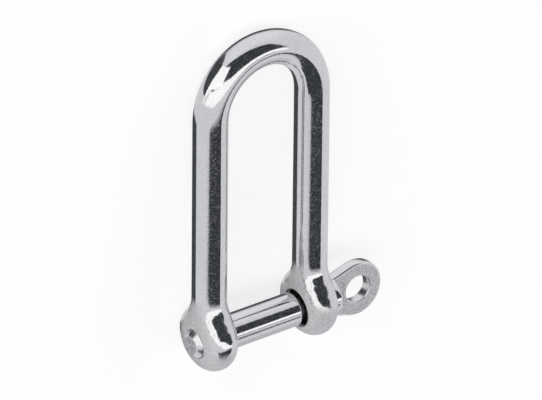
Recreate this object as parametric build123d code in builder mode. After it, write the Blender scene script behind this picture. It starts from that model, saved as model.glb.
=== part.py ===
from build123d import *
import os
from math import asin, cos, degrees, pi, radians, sin, tan

# Long D shackle with a screw pin, all sizes in millimetres.
# It lies on its back as it would come to rest: on both ears and on the crown.
# The origin is on the pin's axis, midway between the legs. +X runs from the pin's tip to its eye.

os.makedirs("parts", exist_ok=True)

# Bow: a round bar bent to a U, with an ear forged at the foot of each leg
bar_d = 6.0  # round bar
jaw_width = 15.0  # clear width between the two legs
inside_length = 49.0  # from the pin's axis to the inside of the crown
ear_r = 6.4  # half the widest size of an ear, seen from the side
ear_lift = 0.9  # how far an ear's widest level lies above the pin's axis
ear_half = 3.05  # from a leg's centre plane to the flat seats round its hole
ear_dome = 3.25  # how far the domed cheeks would reach without those seats
cheek_turn = 14.0  # degrees that a cheek's dome turns before the rounded rim takes over
neck_rise = 6.9  # height over which a leg flares out into its ear
neck_slices = 4  # sections that shape the flare

# Screw pin: threaded tip, plain shank, undercut neck, collar and a flat eye
pin_d = 6.0  # plain shank
thread_d = 5.0  # outside of the thread
neck_d = 4.5  # undercut below the collar
tip_out = 0.8  # how far the tip stands out of the tapped ear
tip_flat_d = 3.3  # flat end left by the tip's chamfer
shank_stop = 0.6  # how far short of the plain ear the shank ends, where the undercut starts
undercut_slope = 0.6  # length of the cone that leads down to the undercut
collar_d = 7.2  # collar that stops against the plain ear
collar_len = 1.4
eye_d = 10.0  # outside of the eye
eye_hole_d = 4.9
eye_thick = 1.95
eye_reach = 0.05  # gap from the collar's outer end to the eye's rim

# Fits and edge breaks
bore_gap = 0.4  # between the shank and the plain ear's hole, all round
thread_gap = 0.08  # between the thread and the tapped hole, all round
seat_gap = 0.08  # between a shoulder and the cheek that it faces
bore_break = 0.2  # chamfer round the plain hole
tap_break = 0.15  # chamfer round the tapped hole
shank_break = 0.25  # chamfer where the shank meets the thread
eye_break = 0.3  # chamfer round the eye's rim
eye_hole_break = 0.2
collar_break = 0.25

bar_r = bar_d / 2
leg_x = jaw_width / 2 + bar_r
crown_y = inside_length + bar_r
spring_y = crown_y - leg_x
neck_top = ear_lift + neck_rise
cheek_out = leg_x + ear_half
cheek_in = leg_x - ear_half

thread_r = thread_d / 2
shank_r = pin_d / 2
neck_r = neck_d / 2
tip_flat_r = tip_flat_d / 2
collar_r = collar_d / 2
eye_r = eye_d / 2
eye_hole_r = eye_hole_d / 2
tip_x = -cheek_out - tip_out
shank_start = seat_gap - cheek_in
shank_end = cheek_in - shank_stop
collar_start = cheek_out + seat_gap
collar_end = collar_start + collar_len
eye_x = collar_end + eye_reach + eye_r

# The bow's own plane: x along the pin, y towards the crown. It leans down to the crown,
# because the bar is thinner than the ears that hold up the other end.
lean = asin((ear_r - bar_r) / (crown_y - ear_lift))
lie = Plane(origin=(0, 0, 0), x_dir=(1, 0, 0), z_dir=(0, sin(lean), cos(lean)))


def across(x, y):
    """Plane square to a leg, at x along the pin and y towards the crown."""
    return Plane(origin=lie.from_local_coords((x, y, 0)), x_dir=lie.x_dir, z_dir=lie.y_dir)


def pin_axis_plane(x, out):
    """Plane square to the pin at x, facing +X or -X."""
    return Plane(origin=(x, 0, 0), x_dir=lie.y_dir, z_dir=(out, 0, 0))


def section_radii(half, deep):
    """Radii of a leg's section: two shallow domed cheeks joined by two round rims.
    Both are the bar's own radius where half and deep are that radius."""
    slope = tan(radians(cheek_turn) / 2)
    rim_r = (half - deep * slope) / (1 - slope)
    return rim_r, rim_r + (deep - rim_r) / sin(radians(cheek_turn))


with BuildPart() as bow:
    for side in (-1, 1):
        foot = across(side * leg_x, ear_lift)
        rim_r, dome_r = section_radii(ear_dome, ear_r)
        with BuildSketch(foot):
            with BuildLine():
                CenterArc((ear_dome - dome_r, 0), dome_r, -cheek_turn, cheek_turn)
                CenterArc((0, rim_r - ear_r), rim_r, 180 + cheek_turn, 180 - 2 * cheek_turn)
                CenterArc((dome_r - ear_dome, 0), dome_r, 180, cheek_turn)
                Line((-ear_dome, 0), (ear_dome, 0))
            make_face()
        revolve(axis=Axis(foot.origin, lie.x_dir), revolution_arc=180)

        for i in range(neck_slices):
            share = i / (neck_slices - 1)
            swell = (1 + cos(pi * share)) / 2
            half = bar_r + (ear_dome - bar_r) * swell
            deep = bar_r + (ear_r - bar_r) * swell
            rim_r, dome_r = section_radii(half, deep)
            with BuildSketch(across(side * leg_x, ear_lift + neck_rise * share)):
                with BuildLine():
                    CenterArc((half - dome_r, 0), dome_r, -cheek_turn, 2 * cheek_turn)
                    CenterArc((0, deep - rim_r), rim_r, cheek_turn, 180 - 2 * cheek_turn)
                    CenterArc((dome_r - half, 0), dome_r, 180 - cheek_turn, 2 * cheek_turn)
                    CenterArc((0, rim_r - deep), rim_r, 180 + cheek_turn, 180 - 2 * cheek_turn)
                make_face()
        loft()

        # flat cheeks, a little proud of the bar
        for cheek in (-1, 1):
            with BuildSketch(pin_axis_plane(side * leg_x + cheek * ear_half, cheek)):
                Rectangle(4 * ear_r + neck_rise, 4 * ear_r)
            extrude(amount=ear_dome, mode=Mode.SUBTRACT)

    # the bar itself, from one neck round the crown to the other
    with BuildLine(lie):
        Line((-leg_x, neck_top), (-leg_x, spring_y))
        CenterArc((0, spring_y), leg_x, 180, -180)
        Line((leg_x, spring_y), (leg_x, neck_top))
    with BuildSketch(across(-leg_x, neck_top)):
        Circle(bar_r)
    sweep()

    # tapped hole on the left, plain hole on the right, both broken at their cheeks
    tapped = (-1, thread_r + thread_gap, tap_break)
    plain = (1, shank_r + bore_gap, bore_break)
    for side, hole_r, edge in (tapped, plain):
        outer = side * cheek_out
        inner = side * cheek_in
        with BuildSketch(lie):
            with BuildLine():
                Polyline(
                    (outer + side, 0),
                    (outer + side, hole_r + edge + 1),
                    (outer, hole_r + edge),
                    (outer - side * edge, hole_r),
                    (inner + side * edge, hole_r),
                    (inner, hole_r + edge),
                    (inner - side, hole_r + edge + 1),
                    (inner - side, 0),
                    close=True,
                )
            make_face()
        revolve(axis=Axis.X, mode=Mode.SUBTRACT)

bow.part.label = "bow"
export_step(bow.part, "parts/bow.step")

with BuildPart() as screw_pin:
    # the flat eye: a ring whose sides run tangent to the collar
    root_x = collar_start + seat_gap
    root_half = collar_r - eye_break
    with BuildSketch(lie):
        with BuildLine():
            CenterArc((eye_x, 0), eye_r, 0, 360)
            Line((root_x, -root_half), (root_x, root_half))
        make_hull()
    extrude(amount=eye_thick / 2, both=True)
    chamfer(screw_pin.faces().filter_by(lie).edges(), eye_break)
    with BuildSketch(lie):
        with Locations((eye_x, 0)):
            Circle(eye_hole_r)
    extrude(amount=eye_thick, both=True, mode=Mode.SUBTRACT)
    hole_rims = screw_pin.faces().filter_by(lie).edges().filter_by(
        lambda rim: rim.geom_type == GeomType.CIRCLE and rim.radius < eye_hole_r + 0.01
    )
    chamfer(hole_rims, eye_hole_break)

    # everything round about the axis, from the tip to the collar
    with BuildSketch(lie):
        with BuildLine():
            Polyline(
                (tip_x, 0),
                (tip_x, tip_flat_r),
                (tip_x + thread_r - tip_flat_r, thread_r),
                (shank_start, thread_r),
                (shank_start, shank_r - shank_break),
                (shank_start + shank_break, shank_r),
                (shank_end, shank_r),
                (shank_end + undercut_slope, neck_r),
                (collar_start, neck_r),
                (collar_start, collar_r - collar_break),
                (collar_start + collar_break, collar_r),
                (collar_end - collar_break, collar_r),
                (collar_end, collar_r - collar_break),
                (collar_end, 0),
                close=True,
            )
        make_face()
    revolve(axis=Axis.X)

screw_pin.part.label = "screw_pin"
export_step(screw_pin.part, "parts/screw_pin.step")
print("lean", round(degrees(lean), 3), "eye at", round(eye_x, 3), "tip at", round(tip_x, 3))
for piece in (bow.part, screw_pin.part):
    print(piece.label, piece.is_valid, round(piece.volume, 2), len(piece.solids()), len(piece.faces()))
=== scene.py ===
import math

import bmesh
import bpy
from mathutils import Matrix, Vector


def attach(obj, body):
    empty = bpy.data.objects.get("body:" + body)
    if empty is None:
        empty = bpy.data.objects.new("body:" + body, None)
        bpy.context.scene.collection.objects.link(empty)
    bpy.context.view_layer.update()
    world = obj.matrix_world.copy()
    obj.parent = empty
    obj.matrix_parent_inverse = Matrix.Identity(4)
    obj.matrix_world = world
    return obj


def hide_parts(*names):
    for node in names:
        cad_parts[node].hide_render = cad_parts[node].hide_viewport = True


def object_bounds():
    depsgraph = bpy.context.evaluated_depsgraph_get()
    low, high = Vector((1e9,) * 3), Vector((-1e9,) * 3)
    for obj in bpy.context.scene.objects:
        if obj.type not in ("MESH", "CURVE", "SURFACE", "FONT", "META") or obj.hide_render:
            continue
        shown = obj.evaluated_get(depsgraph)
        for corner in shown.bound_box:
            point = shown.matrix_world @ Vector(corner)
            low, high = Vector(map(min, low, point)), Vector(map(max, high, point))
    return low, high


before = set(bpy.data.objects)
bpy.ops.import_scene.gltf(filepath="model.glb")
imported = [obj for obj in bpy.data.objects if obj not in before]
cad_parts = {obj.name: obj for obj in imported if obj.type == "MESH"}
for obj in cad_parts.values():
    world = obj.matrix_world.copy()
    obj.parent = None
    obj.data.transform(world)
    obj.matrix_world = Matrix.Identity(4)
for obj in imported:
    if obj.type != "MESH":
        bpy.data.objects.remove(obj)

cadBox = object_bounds()
mm = 0.001
print("frame loaded:", ", ".join(sorted(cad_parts)))


# maths for shader sockets
class Wire:
    # holds one output socket, so that a + b in Python becomes a Math node
    def __init__(self, tree, socket=None):
        self.tree = tree
        self.socket = socket

    def node(self, kind, settings=None, values=None, output=0):
        made = self.tree.nodes.new(kind)
        for name, value in (settings or {}).items():
            setattr(made, name, value)
        for name, value in (values or {}).items():
            if isinstance(value, Wire):
                self.tree.links.new(value.socket, made.inputs[name])
            else:
                made.inputs[name].default_value = value
        return Wire(self.tree, made.outputs[output] if len(made.outputs) else None)

    def maths(self, operation, first, second=0.0, clamp=False):
        return self.node("ShaderNodeMath", {"operation": operation, "use_clamp": clamp}, {0: first, 1: second})

    def __add__(self, other):
        return self.maths("ADD", self, other)

    def __sub__(self, other):
        return self.maths("SUBTRACT", self, other)

    def __rsub__(self, other):
        return self.maths("SUBTRACT", other, self)

    def __mul__(self, other):
        return self.maths("MULTIPLY", self, other)

    __radd__ = __add__
    __rmul__ = __mul__

    def clamped(self):
        return self.maths("ADD", self, 0.0, clamp=True)

    def below(self, limit):
        return self.maths("MINIMUM", self, limit)

    def blend(self, first, second, share):
        # the first colour turns into the second as share goes from 0 to 1; each is three numbers or a Wire
        tones = [tone if isinstance(tone, Wire) else (*tone, 1.0) for tone in (first, second)]
        return self.node("ShaderNodeMix", {"data_type": "RGBA"}, {0: share, 6: tones[0], 7: tones[1]}, output=2)


# camera: the photograph looks down on the shackle from its left and behind its crown
shackle = {"lean": math.asin(3.4 / 51.1), "legX": 10.5, "barR": 3.0, "springY": 41.5}  # lengths in millimetres
asItLies = Matrix.Rotation(-shackle["lean"], 4, "X")  # from the bow's own plane to the frame

view = {
    "right": (0.80375, 0.00917, 0.5949),  # image axes, in the bow's own plane
    "up": (0.28187, 0.87469, -0.39429),
    "pixelsPerMm": 5.929,
    "pinCentre": (259.25, 320.83),  # where the middle of the pin is in the picture
    "picture": (542, 400),
    "distance": 1.5, "sensor": 36.0, "clip": (0.05, 20.0),
}


def placeCamera():
    right = (asItLies @ Vector(view["right"])).normalized()
    up = asItLies @ Vector(view["up"])
    back = right.cross(up).normalized()
    up = back.cross(right)
    wide, high = view["picture"]
    scale = mm / view["pixelsPerMm"]
    aim = right * ((wide / 2 - view["pinCentre"][0]) * scale) + up * ((view["pinCentre"][1] - high / 2) * scale)
    data = bpy.data.cameras.new("photoCamera")
    data.sensor_width = view["sensor"]
    data.lens = view["sensor"] * view["distance"] / (wide * scale)
    data.clip_start, data.clip_end = view["clip"]
    camera = bpy.data.objects.new("photoCamera", data)
    bpy.context.scene.collection.objects.link(camera)
    turned = Matrix((right, up, back)).transposed().to_4x4()
    camera.matrix_world = Matrix.Translation(aim + back * view["distance"]) @ turned
    bpy.context.scene.camera = camera


placeCamera()
bpy.context.scene.view_settings.view_transform = "Standard"
print("camera placed")

# studio: pale walls, one long softbox overhead and to the left, unlit ceiling on both sides of it
studio = {
    "wall": (0.69, 0.69, 0.715),
    "ground": (0.69, 0.695, 0.71),
    "horizon": 30.0,  # how sharply the wall meets the ground
    "floorSize": 6.0,
    "floorTone": (0.6, 0.6, 0.61),
    "floorGlow": 0.68,  # seen by the camera only, and brings the paper up to white
}
white = (1.12, 1.12, 1.12)
unlit = (0.032, 0.036, 0.042)
dim = (0.05, 0.055, 0.058)
# each panel: how bright it is, how soft its edge is, and its corners as directions from the shackle;
# they were fitted to the reflections in the photograph, so the bands are right from its side only
panels = {
    "groundFar": ((0.8, 0.8, 0.82), 0.4, [
        (0.1, 0.5, -1), (1, 0.4, -1), (1, 1, -0.2), (0.9, 1, 0.3), (-0.4, 1, 0.1), (-0.5, 1, -0.8)]),
    "softboxTop": (white, 0.03, [(-1.4, 0.0, 1), (-0.05, -0.05, 1), (-0.05, 0.5, 1), (-1.3, 0.9, 1)]),
    "softboxEnd": (white, 0.03, [
        (-0.3, -0.04, 1), (0.42, -0.15, 1), (0.69, -0.19, 1), (0.82, -0.1, 1), (0.9, 0.06, 1), (0.9, 0.2, 1),
        (-0.3, 0.5, 1)]),
    "softboxSide": (white, 0.04, [
        (-1, 0.03, 1.3), (-1, 0.05, -0.4), (-1, 0.15, -0.43), (-0.7, 1, -0.47), (-0.55, 1, 0.6), (-0.7, 1, 1.3),
        (-0.7, 0.6, 1)]),
    "softboxFoot": ((0.75, 0.75, 0.76), 0.05, [
        (-1, 0.02, -0.05), (-1, 0.13, -0.36), (-1, 0.25, -0.2), (-1, 0.42, 0.06), (-1, 0.3, 0.08)]),
    "seamLow": ((0.1, 0.1, 0.11), 0.03, [
        (-1, 0.39, 0.04), (-1, 0.44, 0.49), (-1, 0.49, 0.48), (-1, 0.45, 0.03)]),
    "seamHigh": ((0.3, 0.3, 0.31), 0.02, [
        (-1, 0.455, 0.46), (-1, 0.605, 1.25), (-1, 0.635, 1.25), (-1, 0.48, 0.46)]),
    "ceilingFar": (unlit, 0.03, [
        (-0.66, 0.57, 1), (-0.12, 0.285, 1), (0.26, 0.17, 1), (0.57, 0.11, 1), (0.92, 0.08, 1), (0.97, 1.2, 1),
        (0.46, 1, 0.62), (0, 1, 0.355), (-0.5, 1, 0.51), (-0.64, 0.8, 1)]),
    "ceilingLow": (unlit, 0.03, [
        (-0.68, 1, 0), (-0.39, 1, 0.16), (0.1, 1, 0.42), (-0.3, 1, 0.7), (-0.49, 1, 0.6), (-0.51, 1, 0.45)]),
    "ceilingGrey": ((0.27, 0.27, 0.29), 0.08, [
        (-0.8, -0.6, 1), (-0.5, -0.42, 1), (-0.05, -0.34, 1), (0.34, -0.36, 1), (0.69, -0.49, 1),
        (0.69, -0.59, 1)]),
    "ceilingNear": (unlit, 0.02, [
        (-1, -0.64, 0.6), (-1.25, -0.84, 1), (-0.72, -0.57, 1), (-0.58, -0.5, 1), (-0.2, -0.43, 1),
        (0.19, -0.42, 1), (0.72, -0.5, 1), (0.77, -0.62, 1), (0.67, -0.8, 1), (0.02, -1, 0.4), (-0.09, -1, 0.3),
        (-0.48, -1, 0.37), (-0.86, -1, 0.47)]),
    "wallNear": ((0.53, 0.53, 0.55), 0.08, [
        (0.35, -1, 0.42), (1.25, -1, 0.6), (1.25, -1, -0.8), (0.35, -1, -0.8)]),
    "seamNear": ((0.1, 0.1, 0.11), 0.05, [(0.4, -0.13, 1), (0.66, -0.15, 1), (0.66, -0.22, 1), (0.4, -0.2, 1)]),
    "groundLeft": (dim, 0.04, [
        (-1, 0.15, -0.42), (-1, 0.18, -0.8), (-0.66, 0.12, -1), (0.1, -0.03, -1), (0.06, 0.28, -1),
        (-0.36, 0.86, -1), (-0.54, 1, -0.88), (-0.69, 1, -0.49), (-1, 1, -0.45)]),
    "groundNear": (dim, 0.04, [
        (-1.05, -1.1, -1), (-1, -0.75, -1), (-0.51, -0.5, -1), (0.11, -0.49, -1), (0.57, -0.69, -1),
        (0.8, -0.85, -1), (0.1, -1, -0.6)]),
    "behind": ((0.09, 0.09, 0.1), 0.2, [
        (0.05, 0.3, -1), (0.7, 0.4, -1), (1.25, 0.2, -1), (1.2, -0.5, -1), (0.8, -0.75, -1), (0.1, -0.05, -1)]),
    "below": ((0.15, 0.15, 0.16), 0.2, [
        (0.75, -1, -0.85), (1.25, -1, -0.85), (1.25, -1, -1.5), (0.8, -1, -1.5)]),
}


def panelMask(direction, corners, soft):
    # one where the direction is inside all planes that run through two corners with the others on one side
    points = [Vector(c).normalized() for c in corners]
    mask = None
    for i, here in enumerate(points):
        for there in points[i + 1:]:
            side = here.cross(there).normalized()
            heights = [side.dot(p) for p in points]
            if min(heights) < -1e-6 and max(heights) > 1e-6:
                continue
            if max(heights) <= 1e-6:
                side = -side
            values = {0: direction, 1: side}
            inside = direction.node("ShaderNodeVectorMath", {"operation": "DOT_PRODUCT"}, values, output=1)
            step = (inside * (1 / soft) + 0.5).clamped()
            mask = step if mask is None else mask.below(step)
    return mask


def lightStudio():
    world = bpy.data.worlds.new("studio")
    bpy.context.scene.world = world
    world.use_nodes = True
    tree = world.node_tree
    tree.nodes.clear()
    start = Wire(tree)
    direction = start.node("ShaderNodeTexCoord", output=0)
    height = start.node("ShaderNodeSeparateXYZ", None, {0: direction}, output=2)
    shade = start.blend(studio["wall"], studio["ground"], (height * -studio["horizon"]).clamped())
    for colour, soft, corners in panels.values():
        shade = start.blend(shade, colour, panelMask(direction, corners, soft))
    # white for the camera and through glass only: the metal shows the panels
    seen = start.node("ShaderNodeLightPath", output="Is Camera Ray")
    seen = seen + start.node("ShaderNodeLightPath", output="Is Transmission Ray")
    shade = start.blend(shade, (1.0, 1.0, 1.0), seen.clamped())
    light = start.node("ShaderNodeBackground", None, {"Color": shade, "Strength": 1.0})
    start.node("ShaderNodeOutputWorld", None, {"Surface": light})


def layFloor():
    bm = bmesh.new()
    bmesh.ops.create_grid(bm, x_segments=1, y_segments=1, size=studio["floorSize"] / 2)
    bmesh.ops.translate(bm, verts=bm.verts, vec=(0, 0, cadBox[0][2]))
    mesh = bpy.data.meshes.new("floor")
    bm.to_mesh(mesh)
    bm.free()
    floor = bpy.data.objects.new("floor", mesh)
    bpy.context.scene.collection.objects.link(floor)
    material = bpy.data.materials.new("paleFloor")
    material.use_nodes = True
    tree = material.node_tree
    tree.nodes.clear()
    start = Wire(tree)
    seen = start.node("ShaderNodeLightPath", output="Is Camera Ray")
    paper = start.node("ShaderNodeBsdfDiffuse", None, {"Color": (*studio["floorTone"], 1.0)})
    values = {"Color": (1.0, 1.0, 1.0, 1.0), "Strength": seen * studio["floorGlow"]}
    glow = start.node("ShaderNodeEmission", None, values)
    both = start.node("ShaderNodeAddShader", None, {0: paper, 1: glow})
    start.node("ShaderNodeOutputMaterial", None, {"Surface": both})
    mesh.materials.append(material)
    floor.visible_glossy = False  # the metal shows the studio's pale ground in place of this paper


lightStudio()
layFloor()
print("studio lit")


# steel
def makeSteel(name, settings, whereForged=None):
    material = bpy.data.materials.new(name)
    material.use_nodes = True
    tree = material.node_tree
    surface = tree.nodes["Principled BSDF"]
    start = Wire(tree)
    place = start.node("ShaderNodeTexCoord", output=3)
    noises = (("speckScale", 1.0), ("cloudScale", 2.0), ("lumpScale", 1.0))
    fine, broad, lumps = [
        start.node("ShaderNodeTexNoise", None, {"Vector": place, "Scale": settings[scale], "Detail": detail})
        for scale, detail in noises
    ]
    satin, forged = whereForged(place, broad) if whereForged else (settings["allSatin"], settings["allSatin"])
    speck = ((fine - settings["speckFrom"]) * settings["speckSharp"]).clamped()  # dull points in the polish
    rough = satin * (settings["satin"] - settings["roughness"]) + settings["roughness"]
    rough = rough + forged * settings["forgedRough"]
    rough = rough + (broad - 0.5) * settings["cloud"] + speck * settings["speck"]
    tree.links.new(rough.socket, surface.inputs["Roughness"])

    def mottled(fineShare, shift, broadShare):
        return (fine * fineShare - shift + (broad - 0.5) * broadShare).clamped()

    polish = start.blend(settings["dull"], settings["bright"], mottled(*settings["mottle"]))
    tumble = start.blend(settings["satinDull"], settings["satinBright"], mottled(*settings["satinMottle"]))
    tree.links.new(start.blend(polish, tumble, satin).socket, surface.inputs["Base Color"])
    grey = satin * (1.0 - settings["satinMetal"])
    metal = 1.0 - start.maths("MAXIMUM", grey, speck * settings["speckGrey"])
    tree.links.new(metal.socket, surface.inputs["Metallic"])
    grain = settings["grain"] + satin * settings["satinGrain"]
    height = fine * grain + (lumps - 0.5) * (forged * settings["lump"])
    bump = start.node("ShaderNodeBump", None, {"Strength": 1.0, "Distance": mm, "Height": height})
    tree.links.new(bump.socket, surface.inputs["Normal"])
    return material


forging = {  # millimetres, in the bow's own plane; each fade is a share per millimetre
    "wander": 1.5,  # how far the borders wander
    "cheek": 2.45, "cheekFade": 2.0, "cheekTop": 9.0, "cheekTopFade": 0.5,
    "low": 0.6, "lowMore": 2.4, "lowFade": 0.7,  # it reaches that much higher on the plain ear
    "top": 7.0,
}


def earForging(place, broad):
    # the cheeks and the lower parts of the ears are only tumbled,
    # and all of an ear is a little uneven from the forge
    f = forging
    x, along = [place.node("ShaderNodeSeparateXYZ", None, {0: place}, output=i) * (1 / mm) for i in (0, 1)]
    along = along + (broad - 0.5) * f["wander"]
    off = place.maths("ABSOLUTE", place.maths("ABSOLUTE", x) - shackle["legX"])
    cheek = ((off - f["cheek"]) * f["cheekFade"]).clamped()
    cheek = cheek * ((f["cheekTop"] - along) * f["cheekTopFade"]).clamped()
    low = ((f["low"] - along + x.clamped() * f["lowMore"]) * f["lowFade"]).clamped()
    return place.maths("MAXIMUM", cheek, low), (f["top"] - along).clamped()


steel = {
    "roughness": 0.05, "bright": (0.91, 0.91, 0.915), "dull": (0.76, 0.76, 0.77),
    "satin": 0.42, "satinMetal": 0.2, "allSatin": 0.0,  # tumbled faces are rougher and mottled
    "satinBright": (0.97, 0.97, 0.975), "satinDull": (0.74, 0.74, 0.75),
    # share of the fine noise, shift, share of the broad one
    "mottle": (3.0, 1.0, 0.8), "satinMottle": (5.0, 1.8, 1.2),
    "cloud": 0.02, "cloudScale": 180.0,
    "speck": 0.13, "speckFrom": 0.5, "speckSharp": 5.0, "speckScale": 4000.0, "speckGrey": 0.13,
    "lumpScale": 420.0, "forgedRough": 0.04,
    "grain": 0.0025, "satinGrain": 0.012, "lump": 0.3,  # heights in millimetres
}
tumbled = dict(steel, allSatin=1.0, satin=0.4, grain=0.025, lump=0.03,
               satinBright=(0.93, 0.93, 0.935), satinDull=(0.6, 0.6, 0.61))
sawnEnd = dict(tumbled, satinBright=(0.82, 0.82, 0.83), satinDull=(0.42, 0.42, 0.43), cloudScale=1400.0)
bowSteel = makeSteel("bowSteel", steel, earForging)
pinSteel = makeSteel("pinSteel", steel)
# walls of both holes: a dark, rough steel whose near-black colour is painted shade standing in for the shade inside
# the bores
paintedShadeBoreSteel = makeSteel("paintedShadeBoreSteel", dict(steel, roughness=0.5, bright=(0.1, 0.1, 0.11), dull=(0.05, 0.05, 0.06)))
satinSteel = makeSteel("satinSteel", tumbled)
tipSteel = makeSteel("tipSteel", sawnEnd)
chamferSteel = makeSteel("chamferSteel", dict(steel, roughness=0.24))
print("steel mixed")


# helpers for pieces
def finishPiece(bm, name, materials, body, node):
    mesh = bpy.data.meshes.new(name)
    bm.to_mesh(mesh)
    bm.free()
    for face in mesh.polygons:
        face.use_smooth = True
    piece = bpy.data.objects.new(name, mesh)
    bpy.context.scene.collection.objects.link(piece)
    for material in materials:
        mesh.materials.append(material)
    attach(piece, body)
    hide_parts(node)
    return piece


# bow: one skin from the foot of an ear up its leg and round the crown, then mirrored
bow = {
    "sides": 64, "firstRing": 0.35, "earRings": 20, "neckRings": 14, "legRings": 8, "crownSteps": 26,
    "earR": 6.4, "earLift": 0.9, "earHalf": 3.25, "cheekTurn": 14.0, "neckRise": 6.9, "seat": 3.07,
    "holes": {-1: 2.58, 1: 3.4},  # radius of the tapped hole and of the plain one
    "breaks": {-1: 0.16, 1: 0.2},
    "cutRoom": 0.5, "cutMore": 0.12, "relax": 6,
    "rimRings": (0.25, 0.06), "rimTurns": (0.15, 0.55, 1.0, 1.4, math.pi / 2),
}


def sectionRadii(half, deep):
    slope = math.tan(math.radians(bow["cheekTurn"]) / 2)
    rim = (half - deep * slope) / (1 - slope)
    return rim, rim + (deep - rim) / math.sin(math.radians(bow["cheekTurn"]))


def sectionHalf(half, deep, out):
    # half thickness of a leg's section at a distance out from its middle
    rim, dome = sectionRadii(half, deep)
    out = min(abs(out), deep)
    if out <= dome * math.sin(math.radians(bow["cheekTurn"])):
        return half - dome + math.sqrt(dome * dome - out * out)
    return math.sqrt(max(rim * rim - (out - deep + rim) ** 2, 0.0))


def swellAt(height):
    share = min(max((height - bow["earLift"]) / bow["neckRise"], 0.0), 1.0)
    return (1 + math.cos(math.pi * share)) / 2


def skinHalf(height, out):
    # how far the skin is from the leg's centre plane at this height and distance out
    if height < bow["earLift"]:
        return sectionHalf(bow["earHalf"], bow["earR"], math.hypot(height - bow["earLift"], out))
    swell = swellAt(height)
    half = shackle["barR"] + (bow["earHalf"] - shackle["barR"]) * swell
    deep = shackle["barR"] + (bow["earR"] - shackle["barR"]) * swell
    return sectionHalf(half, deep, out)


def shapeRing(ring, height):
    if height < bow["earLift"]:
        deep = math.sqrt(max(bow["earR"] ** 2 - (height - bow["earLift"]) ** 2, 0.0))
    else:
        deep = shackle["barR"] + (bow["earR"] - shackle["barR"]) * swellAt(height)
    count = len(ring)
    for i, vert in enumerate(ring):
        turn = 2 * math.pi * i / count
        out = deep * math.sin(turn)
        reach = skinHalf(height, out)
        if abs(math.cos(turn)) < 1e-6:
            reach = 0.0
        vert.co = Vector((shackle["legX"] + math.copysign(reach, math.cos(turn)), height, out)) * mm


def ringEdges(bm, ring):
    return [bm.edges.get((a, b)) for a, b in zip(ring, ring[1:] + ring[:1])]


def nextRing(bm, ring):
    # draws the ring's edges out, and gives the new vertices in the ring's own order
    made = bmesh.ops.extrude_edge_only(bm, edges=ringEdges(bm, ring))["geom"]
    fresh = [v for v in made if isinstance(v, bmesh.types.BMVert)]
    return [min(fresh, key=lambda v: (v.co - old.co).length) for old in ring]


def openHole(bm, side, cheek, holeR, edgeR):
    # cuts the skin round the hole, rounds the cut to a circle and draws it in to the bore
    legX = side * shackle["legX"] * mm
    wide = (holeR + edgeR + bow["cutRoom"]) * mm

    def near(spot, radius):
        # on this cheek of this ear, within a radius of the pin's axis
        return 0 < (spot.x - legX) * cheek < shackle["legX"] * mm and math.hypot(spot.y, spot.z) < radius

    cut = [f for f in bm.faces if near(f.calc_center_median(), wide + bow["cutMore"] * mm)]
    bmesh.ops.delete(bm, geom=cut, context="FACES")
    border = [e for e in bm.edges if e.is_boundary and near(e.verts[0].co, 2 * wide)]
    ring = [border[0].verts[0], border[0].verts[1]]
    while len(ring) < len(border):  # walk round the cut
        ring.append(next(e.other_vert(ring[-1]) for e in border if ring[-1] in e.verts and ring[-2] not in e.verts))
    count = len(ring)
    area = sum(a.co.y * b.co.z - b.co.y * a.co.z for a, b in zip(ring, ring[1:] + ring[:1]))
    if area < 0:
        ring.reverse()
    first = math.atan2(ring[0].co.z, ring[0].co.y)
    turns = [math.atan2(v.co.z, v.co.y) - first - 2 * math.pi * i / count for i, v in enumerate(ring)]
    lead = first + sum(math.remainder(t, 2 * math.pi) for t in turns) / count
    second = {e.other_vert(v) for v in ring for e in v.link_edges} - set(ring)
    third = {e.other_vert(v) for v in second for e in v.link_edges} - set(ring) - second

    def onSkin(v, w):
        return side * shackle["legX"] + cheek * min(skinHalf(v, w), bow["seat"])

    def toCircle(verts, radius, inward=0.0):
        for i, vert in enumerate(verts):
            turn = lead + 2 * math.pi * i / count
            v, w = radius * math.cos(turn), radius * math.sin(turn)
            vert.co = Vector((onSkin(v, w) - cheek * inward, v, w)) * mm

    toCircle(ring, wide / mm)
    for _ in range(bow["relax"]):
        moved = {v: sum((e.other_vert(v).co for e in v.link_edges), Vector()) / len(v.link_edges)
                 for v in second | third}
        for vert, spot in moved.items():
            vert.co.y, vert.co.z = spot.y, spot.z
    for vert in second | third:
        v, w = vert.co.y / mm, vert.co.z / mm
        vert.co.x = (side * shackle["legX"] + cheek * skinHalf(v, w)) * mm
    steps = [(holeR + edgeR + room, 0.0) for room in bow["rimRings"]]
    steps += [(holeR + edgeR * (1 - math.sin(t)), edgeR * (1 - math.cos(t))) for t in bow["rimTurns"]]
    for radius, inward in steps:
        ring = nextRing(bm, ring)
        toCircle(ring, radius, inward)
    return ring


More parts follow.
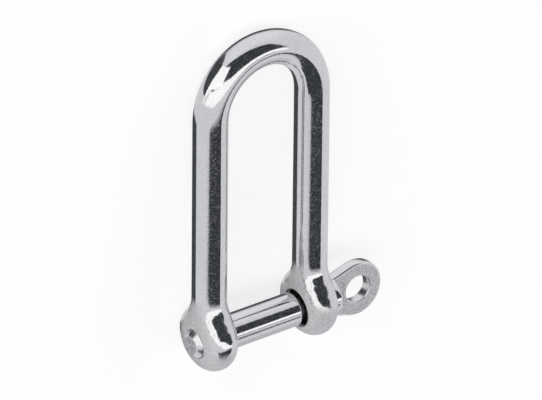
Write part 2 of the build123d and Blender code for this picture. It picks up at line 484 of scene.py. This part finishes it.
def makeBow():
    bm = bmesh.new()
    made = bmesh.ops.create_circle(bm, segments=bow["sides"], radius=mm)
    ring = sorted(made["verts"], key=lambda v: math.atan2(v.co.y, v.co.x) % (2 * math.pi))
    lift, earR = bow["earLift"], bow["earR"]
    first, rings = bow["firstRing"], bow["earRings"]
    heights = [lift - earR * math.cos(math.pi / 2 * (i + first) / (rings + first)) for i in range(rings + 1)]
    top = lift + bow["neckRise"]
    heights += [lift + bow["neckRise"] * (i + 1) / bow["neckRings"] for i in range(bow["neckRings"])]
    heights += [top + (shackle["springY"] - top) * (i + 1) / bow["legRings"] for i in range(bow["legRings"])]
    shapeRing(ring, heights[0])
    foot = list(ring)
    for height in heights[1:]:
        ring = nextRing(bm, ring)
        shapeRing(ring, height)
    # foot of the ear: one more ring is drawn out and merged into one point
    lowest = Vector((shackle["legX"], lift - earR, 0)) * mm
    bmesh.ops.pointmerge(bm, verts=nextRing(bm, foot), merge_co=lowest)
    bmesh.ops.spin(bm, geom=ring + ringEdges(bm, ring), cent=(0, shackle["springY"] * mm, 0), axis=(0, 0, 1),
                   angle=math.pi / 2, steps=bow["crownSteps"], use_merge=False, use_normal_flip=False)
    for vert in bm.verts:
        if abs(vert.co.x) < 1e-7:
            vert.co.x = 0.0
    bmesh.ops.remove_doubles(bm, verts=bm.verts, dist=1e-7)
    bmesh.ops.mirror(bm, geom=bm.verts[:] + bm.edges[:] + bm.faces[:], matrix=Matrix.Identity(4),
                     merge_dist=1e-6, axis="X")
    bmesh.ops.remove_doubles(bm, verts=bm.verts, dist=1e-7)
    for side in (-1, 1):
        holeR, edgeR = bow["holes"][side], bow["breaks"][side]
        rims = [openHole(bm, side, cheek, holeR, edgeR) for cheek in (-1, 1)]
        inside = bmesh.ops.bridge_loops(bm, edges=ringEdges(bm, rims[0]) + ringEdges(bm, rims[1]))["faces"]
        # the bore walls take the dark steel, a painted shade inside the holes
        for face in inside:
            face.material_index = 1
    bmesh.ops.recalc_face_normals(bm, faces=bm.faces)
    bmesh.ops.transform(bm, matrix=asItLies, verts=bm.verts)
    piece = finishPiece(bm, "bowSkin", [bowSteel, paintedShadeBoreSteel], "bow", "bow")
    smooth = piece.modifiers.new("smooth", "SUBSURF")
    smooth.levels = smooth.render_levels = 1
    return piece


bowSkin = makeBow()
print("bow made:", len(bowSkin.data.polygons), "faces")


# screw pin: turned from the shoulder to the collar, with a cut thread and a flat eye
pin = {
    "steps": 96, "shankR": 3.0, "shankStart": -7.37, "shankEnd": 6.85, "undercutSlope": 0.6, "neckR": 2.25,
    "collarStart": 13.63, "collarEnd": 15.03, "collarR": 3.6,
    "tipX": -14.35, "tipFlatR": 1.65, "threadR": 2.5, "pitch": 0.8, "threadDepth": 0.44,
    "eyeX": 20.08, "eyeR": 5.0, "eyeHoleR": 2.45, "eyeThick": 1.95, "rootX": 13.71, "rootHalf": 3.3,
    "shankBreak": 0.25, "shankRound": 0.16, "tipRound": 0.12,
    "eyeRound": 0.38, "eyeHoleRound": 0.2, "flatInset": 0.05,
    "threadFrom": 1.0, "tipLength": 1.3,  # along the pin, from the end of the tip
    "threadInto": 0.2, "threadSteps": 64, "tipClear": 0.02,
}


def turnProfile(bm, profile, steps):
    # a line of (along the pin, radius) spun once round the pin's axis
    verts = [bm.verts.new(Vector((x, r, 0)) * mm) for x, r in profile]
    edges = [bm.edges.new((a, b)) for a, b in zip(verts, verts[1:])]
    bmesh.ops.spin(bm, geom=verts + edges, cent=(0, 0, 0), axis=(1, 0, 0), angle=2 * math.pi,
                   steps=steps, use_merge=True)
    bmesh.ops.remove_doubles(bm, verts=bm.verts, dist=1e-7)
    bmesh.ops.dissolve_degenerate(bm, edges=bm.edges, dist=1e-8)


def roundEdges(bm, edges, offset, segments):
    bmesh.ops.bevel(bm, geom=edges, offset=offset * mm, offset_type="OFFSET", segments=segments, profile=0.5,
                    affect="EDGES", material=-1, clamp_overlap=True)


def makeShank():
    bm = bmesh.new()
    start, end, seat = pin["shankStart"], pin["shankEnd"], pin["collarStart"]
    wide, neck, edge = pin["shankR"], pin["neckR"], pin["shankBreak"]
    turnProfile(bm, [
        (start, 0.0), (start, wide - edge), (start + edge, wide), (start + 0.5, wide), (end - 0.3, wide),
        (end, wide), (end + pin["undercutSlope"], neck), (seat, neck),
        (seat, pin["collarR"]), (pin["collarEnd"], pin["collarR"]), (pin["collarEnd"], 0.0)], pin["steps"])
    bmesh.ops.recalc_face_normals(bm, faces=bm.faces)
    sharp = [e for e in bm.edges if e.is_manifold and e.calc_face_angle() > math.radians(15)
             and abs((e.verts[0].co - e.verts[1].co).normalized().x) < 0.5]
    roundEdges(bm, sharp, pin["shankRound"], 4)
    bmesh.ops.transform(bm, matrix=asItLies, verts=bm.verts)
    return finishPiece(bm, "pinShank", [pinSteel], "pin", "screw_pin")


def makeThread():
    bm = bmesh.new()
    pitch, root = pin["pitch"], pin["threadR"] - pin["threadDepth"]
    start, stop = pin["tipX"] - 2 * pitch, pin["shankStart"] + pin["threadInto"]
    # one turn's profile, along it in shares of the pitch
    crest = [(0.0, root), (0.1, root), (0.42, pin["threadR"]), (0.54, pin["threadR"]), (0.86, root)]
    turns = range(math.ceil((stop - start) / pitch) + 1)
    profile = [(start + (turn + share) * pitch, r) for turn in turns for share, r in crest]
    profile.append((profile[0][0] + len(turns) * pitch, root))
    verts = [bm.verts.new(Vector((x, r, 0)) * mm) for x, r in profile]
    edges = [bm.edges.new((a, b)) for a, b in zip(verts, verts[1:])]
    steps = pin["threadSteps"]
    bmesh.ops.spin(bm, geom=verts + edges, cent=(0, 0, 0), dvec=(pitch * mm / steps, 0, 0), axis=(1, 0, 0),
                   angle=2 * math.pi, steps=steps, use_merge=False)
    bmesh.ops.remove_doubles(bm, verts=bm.verts, dist=2e-6)
    for plane, normal in ((pin["tipX"] + pin["threadFrom"], (-1, 0, 0)), (stop, (1, 0, 0))):
        bmesh.ops.bisect_plane(bm, geom=bm.verts[:] + bm.edges[:] + bm.faces[:],
                               plane_co=(plane * mm, 0, 0), plane_no=normal, clear_outer=True)
    bmesh.ops.remove_doubles(bm, verts=bm.verts, dist=1e-6)
    bmesh.ops.holes_fill(bm, edges=[e for e in bm.edges if e.is_boundary], sides=0)
    bmesh.ops.recalc_face_normals(bm, faces=bm.faces)
    bmesh.ops.transform(bm, matrix=asItLies, verts=bm.verts)
    return finishPiece(bm, "pinThread", [pinSteel], "pin", "screw_pin")


def makeTip():
    bm = bmesh.new()
    tipX, flatR, full = pin["tipX"], pin["tipFlatR"], pin["threadR"] - pin["tipClear"]
    cone = full - flatR
    inner = tipX + pin["tipLength"]
    turnProfile(bm, [
        (tipX, 0.0), (tipX, flatR - 0.3), (tipX, flatR), (tipX + cone, full), (inner, full), (inner, 0.0),
    ], pin["threadSteps"])
    bmesh.ops.recalc_face_normals(bm, faces=bm.faces)
    sharp = [e for e in bm.edges if e.is_manifold and math.radians(30) < e.calc_face_angle() < math.radians(60)]
    roundEdges(bm, sharp, pin["tipRound"], 3)
    for face in bm.faces:
        along = face.calc_center_median().x / mm - tipX
        face.material_index = 1 if along < 0.01 else 2 if along < cone + 0.1 else 0
    bmesh.ops.transform(bm, matrix=asItLies, verts=bm.verts)
    return finishPiece(bm, "pinTip", [pinSteel, tipSteel, chamferSteel], "pin", "screw_pin")


def makeEye():
    bm = bmesh.new()
    outer = bmesh.ops.create_circle(bm, segments=pin["steps"], radius=pin["eyeR"] * mm)["verts"]
    bmesh.ops.create_circle(bm, segments=pin["steps"], radius=pin["eyeHoleR"] * mm)
    reach = pin["eyeX"] - pin["rootX"]
    # the side towards the collar runs along the two tangents to the root's corners
    corner = Vector((-reach, pin["rootHalf"], 0))
    away = math.atan2(corner.y, -corner.x)
    tangent = math.pi - away - math.acos(pin["eyeR"] / corner.length)
    touch = Vector((math.cos(tangent), math.sin(tangent), 0)) * pin["eyeR"]
    for vert in outer:
        turn = math.atan2(vert.co.y, vert.co.x)
        if abs(turn) > tangent:
            share = (abs(turn) - tangent) / (math.pi - tangent)
            sideLong, rootLong = (corner - touch).length, corner.y
            along = share * (sideLong + rootLong)
            if along < sideLong:
                spot = touch.lerp(corner, along / sideLong)
            else:
                spot = Vector((corner.x, corner.y - (along - sideLong), 0))
            vert.co = Vector((spot.x, math.copysign(spot.y, turn), 0)) * mm
    bmesh.ops.bridge_loops(bm, edges=bm.edges[:])
    plate = bmesh.ops.extrude_face_region(bm, geom=bm.faces[:])
    lifted = [v for v in plate["geom"] if isinstance(v, bmesh.types.BMVert)]
    bmesh.ops.translate(bm, verts=lifted, vec=(0, 0, pin["eyeThick"] * mm))
    bmesh.ops.translate(bm, verts=bm.verts, vec=(pin["eyeX"] * mm, 0, -pin["eyeThick"] / 2 * mm))
    bmesh.ops.recalc_face_normals(bm, faces=bm.faces)

    def atHole(edge):
        spot = edge.verts[0].co / mm
        return math.hypot(spot.x - pin["eyeX"], spot.y) < pin["eyeHoleR"] + 0.1

    def sharpRims():
        return [e for e in bm.edges if e.is_manifold and e.calc_face_angle() > math.radians(60)]

    def standsUp(edge):
        return abs((edge.verts[0].co - edge.verts[1].co).normalized().z) >= 0.5

    rest = [e for e in sharpRims() if not standsUp(e) and not atHole(e)]
    roundEdges(bm, rest, pin["eyeRound"], 5)
    hole = [e for e in sharpRims() if atHole(e)]
    roundEdges(bm, hole, pin["eyeHoleRound"], 3)

    def isFlat(face):
        return abs(face.normal.z) > 0.999

    flats = [f for f in bm.faces if isFlat(f)]
    bmesh.ops.inset_region(bm, faces=flats, thickness=pin["flatInset"] * mm, use_even_offset=True)
    for face in bm.faces:
        spot = face.calc_center_median() / mm
        inHole = math.hypot(spot.x - pin["eyeX"], spot.y) < pin["eyeHoleR"] + 0.15
        face.material_index = 1 if isFlat(face) else 2 if inHole else 0
    bmesh.ops.transform(bm, matrix=asItLies, verts=bm.verts)
    return finishPiece(bm, "pinEye", [pinSteel, satinSteel, chamferSteel], "pin", "screw_pin")


for make in (makeShank, makeThread, makeTip, makeEye):
    piece = make()
    print("pin piece made:", piece.name, len(piece.data.polygons), "faces")

# end
print("scene built")
